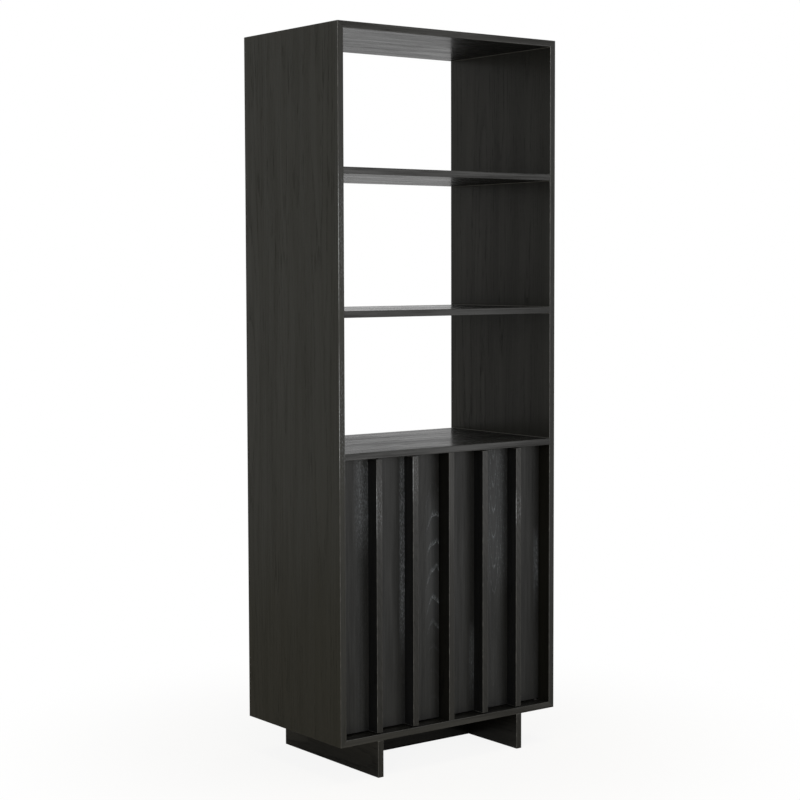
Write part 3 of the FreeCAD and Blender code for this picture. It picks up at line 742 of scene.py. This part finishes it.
out = (x * x + y * y).maths("SQRT").fade(FLOOR_WHITE_FROM, FLOOR_WHITE_TO)
from_spot = (x - DARK_SPOT[X]) * (x - DARK_SPOT[X]) + (y - DARK_SPOT[Y]) * (y - DARK_SPOT[Y])
off = from_spot.maths("SQRT").fade(DARK_SPOT_FROM, DARK_SPOT_TO)
path = start.node("ShaderNodeLightPath").socket.node
seen, mirrored, through = (Tone(start.tree, path.outputs[ray])
                           for ray in ("Is Camera Ray", "Is Glossy Ray", "Is Transmission Ray"))
to_eye = seen * (FLOOR_WHITE_LEAST + (1 - FLOOR_WHITE_LEAST) * out)
to_lacquer = mirrored.most(through) * (DARK_SPOT_LEAST + (1 - DARK_SPOT_LEAST) * off)
matt = start.node("ShaderNodeBsdfDiffuse", None, {"Color": FLOOR})
white = start.node("ShaderNodeEmission", None, {"Color": WHITE, "Strength": 1.0})
mixed = start.node("ShaderNodeMixShader", None, {0: to_eye.most(to_lacquer), 1: matt, 2: white})
start.node("ShaderNodeOutputMaterial", None, {"Surface": mixed}, output=None)
floor_mesh.materials.append(floor_finish)


# Studio: white all round for the eye and for reflections, and a softer level of it on the cabinet.
# Three soft boxes light it: a strong narrow one from the left, a wide one from the right, and one overhead.
AMBIENT = 0.25
studio = bpy.data.worlds.new("studio")
studio.use_nodes = True
studio.node_tree.nodes.clear()
start = Tone(studio.node_tree)
path = start.node("ShaderNodeLightPath").socket.node
seen = Tone(start.tree, path.outputs["Is Camera Ray"])
for ray in ("Is Glossy Ray", "Is Transmission Ray"):
    seen = seen.most(Tone(start.tree, path.outputs[ray]))
dim = start.node("ShaderNodeBackground", None, {"Color": WHITE, "Strength": AMBIENT})
white = start.node("ShaderNodeBackground", None, {"Color": WHITE, "Strength": 1.0})
mixed = start.node("ShaderNodeMixShader", None, {0: seen, 1: dim, 2: white})
start.node("ShaderNodeOutputWorld", None, {"Surface": mixed}, output=None)
bpy.context.scene.world = studio
bpy.context.scene.view_settings.view_transform = "Standard"


def soft_light(name, place, aim, wide, tall, radiance):
    """A soft box that shines from its place towards its aim."""
    light = bpy.data.lights.new(name, "AREA")
    light.shape = "RECTANGLE"
    light.size = wide
    light.size_y = tall
    light.energy = radiance * math.pi * wide * tall
    lamp = bpy.data.objects.new(name, light)
    lamp.location = place
    lamp.rotation_euler = (Vector(aim) - Vector(place)).to_track_quat("-Z", "Y").to_euler()
    lamp.visible_camera = False
    bpy.context.scene.collection.objects.link(lamp)


soft_light("key", place=(-3.4, -2.6, 1.7), aim=(0.0, 0.0, 1.2), wide=0.9, tall=2.2, radiance=10.0)
soft_light("front_fill", place=(1.9, -3.6, 1.2), aim=(0.0, 0.0, 1.0), wide=2.2, tall=2.4, radiance=2.7)
soft_light("overhead", place=(0.0, -0.4, 4.4), aim=(0.0, 0.0, 1.0), wide=2.6, tall=2.6, radiance=4.0)


# Camera: a little below eye height, nearly five metres off the cabinet's left front edge.
# It looks slightly down through a long lens, and its picture is shifted down a little.
EYE = (-3.1186, -4.10991, 1.36482)
YAW, PITCH, ROLL = 0.64801, 0.06570, -0.00280
LENS = 82.427
SENSOR = 36.0
SHIFT = -0.015
ahead = Vector((math.sin(YAW) * math.cos(PITCH), math.cos(YAW) * math.cos(PITCH), -math.sin(PITCH)))
sideways = Vector((math.cos(YAW), -math.sin(YAW), 0.0))
upward = sideways.cross(ahead)
right = sideways * math.cos(ROLL) + upward * math.sin(ROLL)
upright = upward * math.cos(ROLL) - sideways * math.sin(ROLL)
lens = bpy.data.cameras.new("camera")
lens.lens = LENS
lens.sensor_width = SENSOR
lens.shift_y = SHIFT
camera = bpy.data.objects.new("camera", lens)
turn = Matrix((right, upright, -ahead)).transposed().to_4x4()
camera.matrix_world = Matrix.Translation(EYE) @ turn
bpy.context.scene.collection.objects.link(camera)
bpy.context.scene.camera = camera
